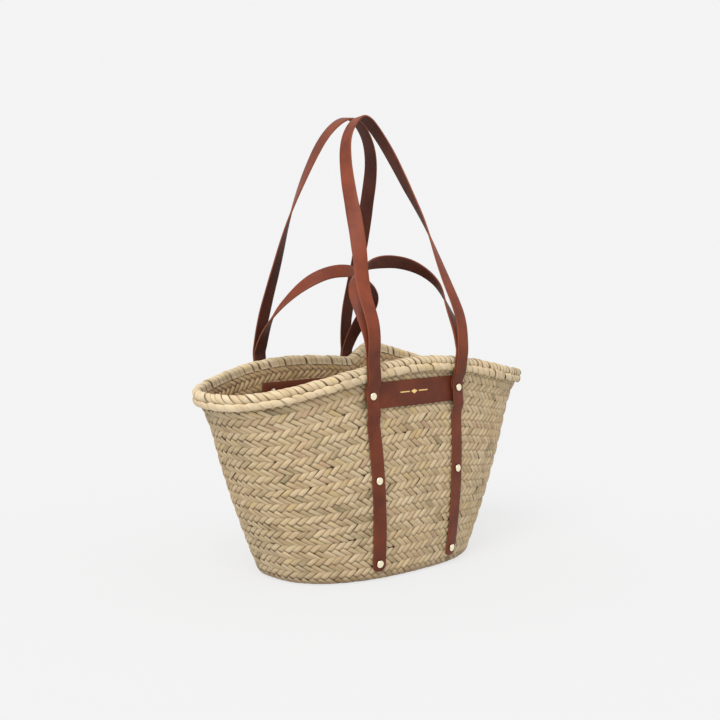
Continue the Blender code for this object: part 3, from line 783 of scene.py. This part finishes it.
def leg_line(hand, side, layer):
    """Middle line and outward rays of a leg strap, or of the short strap inside it."""
    seat = BACK_SEAT * (side > 0)
    flat = WALL / 2 + RIDGE + FIT_GAP + STRAP_THICK / 2
    high = WALL / 2 + RIDGE + FIT_GAP + BAND_THICK + FIT_GAP + LAYER_GAP + 1.5 * STRAP_THICK + seat
    over = WALL / 2 + RIDGE + COLLAR_THICK + 3 * FIT_GAP + LAYER_GAP + 1.5 * STRAP_THICK + seat
    rim = rim_point(leg_x(RIVET_LEVELS[-1], hand), side)
    band_low = rivet_level(2, side) - BAND_HEIGHT / 2
    collar_low = rim[2] - COLLAR_HEIGHT
    points = []
    for z in np.linspace(LEG_FOOT, rim[2] - 0.001, 30):
        middle, normal = wall_at(leg_x(z, hand), z, side)
        out = flat + (high - flat) * smooth((z - band_low + 0.020) / 0.016)
        out += (over - high) * smooth((z - collar_low + 0.012) / 0.010)
        points.append(middle + normal * out)
    end, last = hinge_end(hand, side, "leg"), points[-1]
    points += [last + (end - last) * part for part in (0.3, 0.55, 0.8, 1.0)]
    points = np.array(points)
    tangent = np.gradient(points, axis=0)
    tangent /= np.linalg.norm(tangent, axis=1, keepdims=True)
    out = np.array([0, side, 0]) - tangent * tangent[:, 1:2] * side
    out /= np.linalg.norm(out, axis=1, keepdims=True)
    rays = []
    for point, ray in zip(points, out):
        low = point[2] < rim[2] - 0.012
        if low:
            normal = wall_at(point[0], point[2], side)[1]
        rays.append(normal if low else ray * 0.5 + normal * 0.5)
    rays = np.array(rays)
    rays -= (rays * tangent).sum(1, keepdims=True) * tangent
    rays[-2:] = out[-2:]
    rays /= np.linalg.norm(rays, axis=1, keepdims=True)
    if layer == "tab":
        points = points - rays * (STRAP_THICK + LAYER_GAP)
        keep = points[:, 2] > rivet_level(2, side) - TAB_BELOW_RIVET
        return points[keep], np.cross(tangent, rays)[keep]
    return points, np.cross(tangent, rays)


print("hinge ends", hinge_end(-1, -1, "leg").round(4), hinge_end(1, -1, "leg").round(4))

# %% [markdown]
# ## Line of a loop
# Each loop is given by a few stations, read as a saddler would take them off a handle:
# height above the bend, half spread, lean over the mouth, and turn of the strap in
# degrees. A smooth curve through them gives the loop. The left branch of the front loops
# hangs a little outwards, as a used handle does.

# %% Stations of the loops
LOOPS = {
    "front_long": (
        (0.044, 0.0865, 0.008, 4), (0.087, 0.0820, 0.025, 14), (0.131, 0.0715, 0.039, 30),
        (0.176, 0.0640, 0.056, 52), (0.221, 0.0550, 0.078, 72), (0.267, 0.0430, 0.099, 88),
        (0.309, 0.0200, 0.113, 96), (0.322, 0.0000, 0.1145, 98),
    ),
    "back_long": (
        (0.034, 0.0800, 0.003, 2), (0.083, 0.0765, 0.016, 8), (0.131, 0.0745, 0.034, 20),
        (0.178, 0.0715, 0.050, 40), (0.225, 0.0650, 0.067, 62), (0.273, 0.0540, 0.086, 80),
        (0.317, 0.0280, 0.098, 92), (0.331, 0.0000, 0.101, 95),
    ),
    "front_short": (
        (0.020, 0.0840, 0.006, 5), (0.066, 0.0840, 0.030, 38), (0.090, 0.0790, 0.041, 70),
        (0.108, 0.0640, 0.052, 102), (0.121, 0.0360, 0.061, 134), (0.125, 0.0000, 0.064, 148),
    ),
    "back_short": (
        (0.018, 0.0835, 0.007, 5), (0.052, 0.0860, 0.031, 38), (0.076, 0.0815, 0.055, 70),
        (0.097, 0.0660, 0.072, 102), (0.115, 0.0370, 0.085, 134), (0.121, 0.0000, 0.090, 148),
    ),
}


FRONT_BOW, FRONT_BOW_AT, FRONT_BOW_REACH = 0.0120, 0.055, 0.040


def spline(knots, values, wanted):
    """Natural cubic through the knots."""
    gap = np.diff(knots)
    system = np.eye(len(knots))
    rhs = np.zeros(len(knots))
    for i in range(1, len(knots) - 1):
        system[i, i - 1:i + 2] = gap[i - 1], 2 * (gap[i - 1] + gap[i]), gap[i]
        slope = (values[i + 1] - values[i]) / gap[i]
        rhs[i] = 6 * (slope - (values[i] - values[i - 1]) / gap[i - 1])
    bend = np.linalg.solve(system, rhs)
    i = np.clip(np.searchsorted(knots, wanted) - 1, 0, len(knots) - 2)
    a = (knots[i + 1] - wanted) / gap[i]
    b = (wanted - knots[i]) / gap[i]
    curve = (a**3 - a) * bend[i] + (b**3 - b) * bend[i + 1]
    return a * values[i] + b * values[i + 1] + curve * gap[i] ** 2 / 6


def loop_line(stations, side, layer, count):
    """Middle line and width directions of a loop, from its left end to its right."""
    left, right = hinge_end(-1, side, layer), hinge_end(1, side, layer)
    half = [(BEND_GAP, HINGE_SPREAD, 0.0, 0.0)] + list(stations)
    keys = [(-s[1], s[0], s[2], s[3] * side) for s in half]
    keys += [(s[1], s[0], s[2], s[3] * side) for s in half[-2::-1]]
    keys = np.array(keys, float)
    bowed = (keys[1:-1, 0] < 0) & (side < 0)
    height = keys[1:-1, 1] - FRONT_BOW_AT
    keys[1:-1, 2] -= FRONT_BOW * bowed * bell(height, FRONT_BOW_REACH, FRONT_BOW_REACH)
    gap = np.linalg.norm(np.diff(keys[:, :3], axis=0), axis=1)
    knots = np.concatenate([[0], np.cumsum(gap)])
    fine = np.linspace(0, knots[-1], count)
    x, rise, lean, turn = [spline(knots, keys[:, i], fine) for i in range(4)]
    share = np.clip((x - left[0]) / (right[0] - left[0]), 0, 1)
    y = left[1] + (right[1] - left[1]) * share - side * lean
    z = left[2] + (right[2] - left[2]) * share + rise
    middle = np.stack([x, y, z], axis=1)
    tangent = np.gradient(middle, axis=0)
    tangent /= np.linalg.norm(tangent, axis=1, keepdims=True)
    depth = np.array([0, 1.0, 0]) - tangent * tangent[:, 1:2]
    depth /= np.linalg.norm(depth, axis=1, keepdims=True)
    angle = np.radians(turn)[:, None]
    return middle, np.cross(depth, tangent) * np.cos(angle) + depth * np.sin(angle)


def strap_line(word, layer, side):
    """A whole strap: left leg up, round the loop, right leg down."""
    middle, width = loop_line(LOOPS[word], side, layer, 61)
    left, left_width = leg_line(-1, side, layer)
    right, right_width = leg_line(1, side, layer)
    points = np.concatenate([left[:-1], middle, right[-2::-1]])
    widths = np.concatenate([left_width[:-1] , width, right_width[-2::-1]])
    # The width directions of both legs are turned to agree with the loop's.
    agree = np.ones(len(points))
    for i in range(1, len(points)):
        agree[i] = agree[i - 1] * (1 if widths[i] @ widths[i - 1] > 0 else -1)
    return points, widths * agree[:, None]


# %% Sweep a strap with rounded edges
def strap_ring(width, thick, edge=0.0009):
    """Section of a strap: across, through, and how much each point is cut edge."""
    w, t = width / 2, thick / 2
    faces = np.linspace(-1, 1, 5)[1:-1] * (w - edge)
    corner = np.radians([0, 45, 90])
    ring = []
    for sx, sy, first in ((1, 1, 0), (-1, 1, 1), (-1, -1, 0), (1, -1, 1)):
        turn = corner[::-1] if first else corner
        for a in turn:
            x, y = w - edge + edge * math.cos(a), t - edge + edge * math.sin(a)
            ring.append((sx * x, sy * y, math.cos(a)))
        if (sx, sy) == (1, 1):
            ring += [(x, t, 0.0) for x in faces[::-1]]
        if (sx, sy) == (-1, -1):
            ring += [(x, -t, 0.0) for x in faces]
    return np.array(ring)


def add_strap(name, points, widths, finish, inside, round_foot=True, step=0.0035, bow=0.0):
    """A flat strap through points, its two faces in two leathers, its ends closed."""
    run = np.concatenate([[0], np.cumsum(np.linalg.norm(np.diff(points, axis=0), axis=1))])
    fine = np.linspace(0, run[-1], int(run[-1] / step))
    if round_foot:
        near = np.array([0, 0.0004, 0.0012, 0.0025, 0.0045, 0.007])
        fine = np.unique(np.concatenate([fine, near, run[-1] - near]))
    line = np.stack([spline(run, points[:, i], fine) for i in range(3)], -1)
    flat = np.stack([np.interp(fine, run, widths[:, i]) for i in range(3)], -1)
    tangent = np.gradient(line, fine, axis=0)
    tangent /= np.linalg.norm(tangent, axis=1, keepdims=True)
    flat -= (flat * tangent).sum(1, keepdims=True) * tangent
    flat /= np.linalg.norm(flat, axis=1, keepdims=True)
    through = np.cross(flat, tangent)
    ring = strap_ring(STRAP_WIDTH, STRAP_THICK)
    reach = STRAP_WIDTH / 2
    near_end = np.minimum(fine, run[-1] - fine)
    part = np.clip(1 - near_end / reach, 0, 1)
    narrow = 0.30 + 0.70 * np.sqrt(1 - part**2) if round_foot else np.ones(len(fine))
    wander = 1 + 0.012 * np.sin(fine * 61 + run[-1] * 900) + 0.010 * np.sin(fine * 133)
    across = ring[None, :, 0] * (narrow * wander)[:, None]
    cup = bow * (1 - (ring[None, :, 0] / reach) ** 2)
    verts = line[:, None] + flat[:, None] * across[..., None]
    verts = verts + through[:, None] * (ring[None, :, 1] + cup)[..., None]
    rows, size = verts.shape[:2]
    verts = verts.reshape(-1, 3)
    faces, kinds = [], []
    for i in range(rows - 1):
        for j in range(size):
            k = (j + 1) % size
            faces.append((i * size + j, (i + 1) * size + j, (i + 1) * size + k, i * size + k))
            kinds.append(int(ring[j, 1] < 0 and ring[k, 1] < 0))
    faces += [tuple(range(size)), tuple((rows - 1) * size + j for j in range(size))[::-1]]
    kinds += [0, 0]
    mesh = bpy.data.meshes.new(name)
    mesh.from_pydata(verts.tolist(), [], faces)
    mesh.materials.append(finish)
    mesh.materials.append(inside)
    mesh.polygons.foreach_set("material_index", kinds)
    mesh.shade_smooth()
    add_attribute(mesh, "cut_edge", "FLOAT", np.tile(ring[:, 2], rows))
    # Painted shade on the strap up to about the rim, none on the high loop.
    add_attribute(mesh, "on_leg", "FLOAT", 1 - smooth((verts[:, 2] - 0.270) / 0.070))
    made = bpy.data.objects.new(name, mesh)
    bpy.context.scene.collection.objects.link(made)
    print(name, round(run[-1], 3), "m long,", len(faces), "faces")
    return made


# %% Long and short straps
def hinge_middle(side):
    return (hinge_end(-1, side, "leg") + hinge_end(1, side, "leg")) / 2


BEND_REACH = 0.011
for word, side in (("front", -1), ("back", 1)):
    bend = hinge_middle(side)
    low, high = bend - (0, 0, BEND_REACH), bend + (0, 0, BEND_REACH)
    line = strap_line(word + "_long", "leg", side)
    strap = add_strap(word + "_long_strap", *line, LEATHER, FLESH)
    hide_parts(word + "_long_handle", word + "_left_leg", word + "_right_leg")
    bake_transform(strap)
    line = strap_line(word + "_short", "tab", side)
    strap = add_strap(word + "_short_strap", *line, LEATHER, FLESH)
    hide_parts(word + "_short_handle", word + "_left_tab", word + "_right_tab")
    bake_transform(strap)

# %% [markdown]
# ## Leather bands
# A wide band joins the two front legs outside, a narrower one the back legs, and two more
# line the inside. Each is a thin curved plate that follows the wall, with soft edges.

# %% Bands on the wall
def add_band(name, side, offset, height, past, facing):
    reach = LEG_SPREAD_HIGH + STRAP_WIDTH / 2 + past
    ring = strap_ring(height, BAND_THICK, 0.0006)
    levels = [rivet_level(2, side) + u for u in np.linspace(-1, 1, 7) * height / 2]
    verts, faces = [], []
    for x in np.linspace(-reach, reach, 49):
        spots = [wall_at(x, z, side) for z in levels]
        middle = np.array([s[0] for s in spots])
        normal = np.array([s[1] for s in spots])
        for u, v, _ in ring:
            z = rivet_level(2, side) + u
            at = [np.interp(z, levels, middle[:, i]) for i in range(3)]
            ray = np.array([np.interp(z, levels, normal[:, i]) for i in range(3)])
            verts.append(at + ray * (offset + v * facing))
    size = len(ring)
    for i in range(48):
        for j in range(size):
            k = (j + 1) % size
            faces.append((i * size + j, (i + 1) * size + j, (i + 1) * size + k, i * size + k))
    faces += [tuple(range(size)), tuple(48 * size + j for j in range(size))[::-1]]
    mesh = bpy.data.meshes.new(name)
    mesh.from_pydata(np.array(verts).tolist(), [], faces)
    mesh.materials.append(LEATHER)
    mesh.shade_smooth()
    add_attribute(mesh, "cut_edge", "FLOAT", np.tile(ring[:, 2], 49))
    # The bands get the full painted shade.
    add_attribute(mesh, "on_leg", "FLOAT", np.ones(len(verts)))
    made = bpy.data.objects.new(name, mesh)
    bpy.context.scene.collection.objects.link(made)
    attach(made, "basket")
    return made


OUTER_BAND_AT = WALL / 2 + RIDGE + FIT_GAP + BAND_THICK / 2
INNER_BAND_AT = -(WALL / 2 + LINING_GAP + BAND_THICK / 2)
for word, side, height in (("front", -1, BAND_HEIGHT), ("back", 1, BACK_BAND_HEIGHT)):
    band = add_band(word + "_band_outside", side, OUTER_BAND_AT, height, -BAND_UNDER_LEG, 1)
    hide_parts(word + "_outer_band")
    inner_band = (side, INNER_BAND_AT, INNER_BAND_HEIGHT, BAND_PAST_LEG, -1)
    band = add_band(word + "_band_inside", *inner_band)
    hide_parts(word + "_inner_band")

# %% [markdown]
# ## Brass rivets
# Each rivet is a low dome of polished pale brass pressed into the leather. A turned profile
# with many points gives a clean highlight, and the inner burr is a small domed ring.

# %% Brass finish
brass = Finish("pale brass", Metallic=1.0, Roughness=0.22)
place = brass.make("ShaderNodeTexCoord").out("Object")
haze = brass.noise(place, 420.0, 3.0)
pale = brass.mix(haze, rgba(248, 234, 194), rgba(254, 248, 224))
# Painted shade: the outer edge of each cap and washer is darkened where it meets the leather.
brass.set(Base_Color=brass.mix(brass.attribute("rim") * 0.75, pale, rgba(104, 74, 42)))
brass.set(Roughness=0.17 + haze * 0.16)
brass.set(Normal=brass.bump(haze, 0.15, 0.0002))
BRASS = brass.material

# %% Rivets and burrs
RIVET_CAP, RIVET_RISE, RIVET_SEAT = 0.0105, 0.0024, 0.0006
BURR_OUTER, BURR_THICK, BURR_EDGE = 0.0080, 0.0012, 0.0006


def add_turned(name, profile, place, axis, finish, facets=32):
    """A profile of (radius, height) turned round an axis."""
    axis = Vector(axis).normalized()
    frame_of = axis.to_track_quat("Z", "Y").to_matrix().to_4x4()
    spin = np.linspace(0, 2 * math.pi, facets, endpoint=False)
    verts = [(r * math.cos(a), r * math.sin(a), h) for r, h in profile for a in spin]
    faces = []
    for i in range(len(profile) - 1):
        for j in range(facets):
            k = (j + 1) % facets
            low, high = i * facets, (i + 1) * facets
            faces.append((low + j, low + k, high + k, high + j))
    faces.append(tuple(range(facets))[::-1])
    faces.append(tuple((len(profile) - 1) * facets + j for j in range(facets)))
    mesh = bpy.data.meshes.new(name)
    mesh.from_pydata(verts, [], faces)
    reach = max(r for r, _ in profile)
    # Share of the outer edge, which the brass finish darkens as painted shade.
    rim = [np.clip((r / reach - 0.92) / 0.08, 0, 1) for r, _ in profile for _ in spin]
    add_attribute(mesh, "rim", "FLOAT", rim)
    mesh.transform(Matrix.Translation(place) @ frame_of)
    mesh.materials.append(finish)
    mesh.shade_smooth()
    made = bpy.data.objects.new(name, mesh)
    bpy.context.scene.collection.objects.link(made)
    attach(made, "basket")
    return made


def add_rivet(name, index, hand, side):
    z = rivet_level(index, side)
    middle, normal = wall_at(leg_x(z, hand), z, side)
    face = WALL / 2 + RIDGE + 2 * FIT_GAP + STRAP_THICK
    inner = WALL / 2 + 2 * FIT_GAP
    if index == 2:
        face += BAND_THICK + STRAP_THICK + LAYER_GAP + BACK_SEAT * (side > 0)
        inner = WALL / 2 + LINING_GAP + BAND_THICK + 2 * FIT_GAP
    cap = RIVET_CAP / 2
    angles = np.radians(np.linspace(86, 4, 9))
    dome = [
        (cap * math.cos(a), RIVET_SEAT + face + RIVET_RISE * (math.sin(a) ** 0.9))
        for a in angles[::-1]
    ]
    under = [(cap * 0.90, face + RIVET_SEAT * 0.3), (cap, face + RIVET_SEAT)]
    cap_piece = add_turned(name + "_cap", under + dome, middle, normal, BRASS)
    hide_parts(name + "_rivet")
    burr = BURR_OUTER / 2
    arc = [
        (
            burr - BURR_EDGE + BURR_EDGE * math.cos(a),
            BURR_THICK - BURR_EDGE + BURR_EDGE * math.sin(a),
        )
        for a in np.radians([0, 30, 60, 90])
    ]
    post_end = BURR_THICK + 0.0004
    post = [(0.0022, BURR_THICK), (0.0018, post_end), (0.0004, post_end)]
    profile = [(burr, 0.0)] + arc + post
    burr_piece = add_turned(name + "_washer", profile, middle - normal * inner, -normal, BRASS, 24)
    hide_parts(name + "_burr")


for word, side in (("front", -1), ("back", 1)):
    for hand_word, hand in (("left", -1), ("right", 1)):
        for index, level_word in enumerate(("low", "mid", "top")):
            add_rivet(f"{word}_{hand_word}_{level_word}", index, hand, side)
print("12 rivets set")

# %% [markdown]
# ## A small gilt sign
# The front band carries a small plain sign pressed in gold foil: a lozenge between two
# short bars. Foil is a few hundredths of a millimetre thick, so it is drawn as flat shapes
# that follow the band, just above the leather.

# %% Gilt sign
gilt = Finish("gold foil", Metallic=1.0, Roughness=0.30)
place = gilt.make("ShaderNodeTexCoord").out("Object")
wear = gilt.noise(place, 1600.0, 3.0)
wear_and_painted_light = gilt.share(wear, 0.45, 0.70)
gilt.set(Base_Color=gilt.mix(wear_and_painted_light, rgba(252, 222, 150), rgba(226, 184, 108)))
gilt.set(Roughness=0.26 + wear * 0.2)
GILT = gilt.material

SIGN_X, SIGN_LIFT = -0.002, 0.00008
BAR_FAR, BAR_NEAR, BAR_TALL = 0.0250, 0.0085, 0.0008
LOZENGE_REACH, LOZENGE_TALL = 0.0056, 0.0036
sign_faces, sign_verts = [], []


def on_band(x, z):
    middle, normal = wall_at(x, z, -1)
    return middle + normal * (OUTER_BAND_AT + BAND_THICK / 2 + SIGN_LIFT)


def add_sign_strip(x0, x1, half_height, columns):
    """A run of quads whose half height is a function of the share along it."""
    first = len(sign_verts)
    z = rivet_level(2, -1) + 0.001
    for i in range(columns + 1):
        share = i / columns
        x = x0 + (x1 - x0) * share
        tall = half_height(share)
        sign_verts.append(on_band(x, z - tall))
        sign_verts.append(on_band(x, z + tall))
    for i in range(columns):
        n = first + 2 * i
        sign_faces.append((n, n + 2, n + 3, n + 1))


def bar(share):
    return BAR_TALL


def lozenge(share):
    return 0.0001 + LOZENGE_TALL * (1 - abs(2 * share - 1))


add_sign_strip(SIGN_X - BAR_FAR, SIGN_X - BAR_NEAR, bar, 4)
add_sign_strip(SIGN_X - LOZENGE_REACH, SIGN_X + LOZENGE_REACH, lozenge, 8)
add_sign_strip(SIGN_X + BAR_NEAR, SIGN_X + BAR_FAR, bar, 4)
sign_mesh = bpy.data.meshes.new("front_band_sign")
sign_mesh.from_pydata([tuple(map(float, v)) for v in sign_verts], [], sign_faces)
sign_mesh.materials.append(GILT)
sign = bpy.data.objects.new("front_band_sign", sign_mesh)
bpy.context.scene.collection.objects.link(sign)
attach(sign, "basket")

# %% [markdown]
# ## Room, light and camera
# The basket stands on a plain pale floor. A bright even sky
# does most of the work, as in a white studio, with one large soft light from the upper left
# to model the folds. The camera looks slightly down from the front left.

# %% Floor and backdrop
paper = Finish("studio paper", Roughness=1.0, Specular_IOR_Level=0.0, Emission_Strength=1.0)
paper.set(Base_Color=(0.14, 0.14, 0.14, 1), Emission_Color=(0.702, 0.702, 0.702, 1))
bpy.ops.mesh.primitive_plane_add(size=60, location=(0, 0, -0.0004))
floor = bpy.context.object
floor.name = "studio_floor"
floor.data.materials.append(paper.material)

# %% Light
bpy.context.scene.view_settings.view_transform = "Standard"
world = bpy.data.worlds.new("studio")
world.use_nodes = True
world.node_tree.nodes["Background"].inputs["Color"].default_value = (1, 1, 1, 1)
world.node_tree.nodes["Background"].inputs["Strength"].default_value = 0.9
bpy.context.scene.world = world

lamp = bpy.data.lights.new("soft_box", "SUN")
lamp.energy, lamp.angle = 2.1, math.radians(40)
soft_box = bpy.data.objects.new("soft_box", lamp)
soft_box.rotation_mode = "QUATERNION"
soft_box.rotation_quaternion = Vector((1.8, 1.0, -2.4)).to_track_quat("-Z", "Y")
bpy.context.scene.collection.objects.link(soft_box)

# %% Camera
camera_data = bpy.data.cameras.new("camera")
camera_data.lens, camera_data.sensor_width = 61.6, 36
camera = bpy.data.objects.new("camera", camera_data)
AZIMUTH, DISTANCE, HEIGHT, PITCH, YAW = -42.87, 1.7026, 0.4281, 4.96, -0.23
angle = math.radians(AZIMUTH)
camera.location = (math.sin(angle) * DISTANCE, -math.cos(angle) * DISTANCE, HEIGHT)
camera.rotation_euler = (math.radians(90 - PITCH), 0, math.radians(AZIMUTH - YAW))
camera_data.clip_start, camera_data.clip_end = 0.02, 100
bpy.context.scene.collection.objects.link(camera)
bpy.context.scene.camera = camera
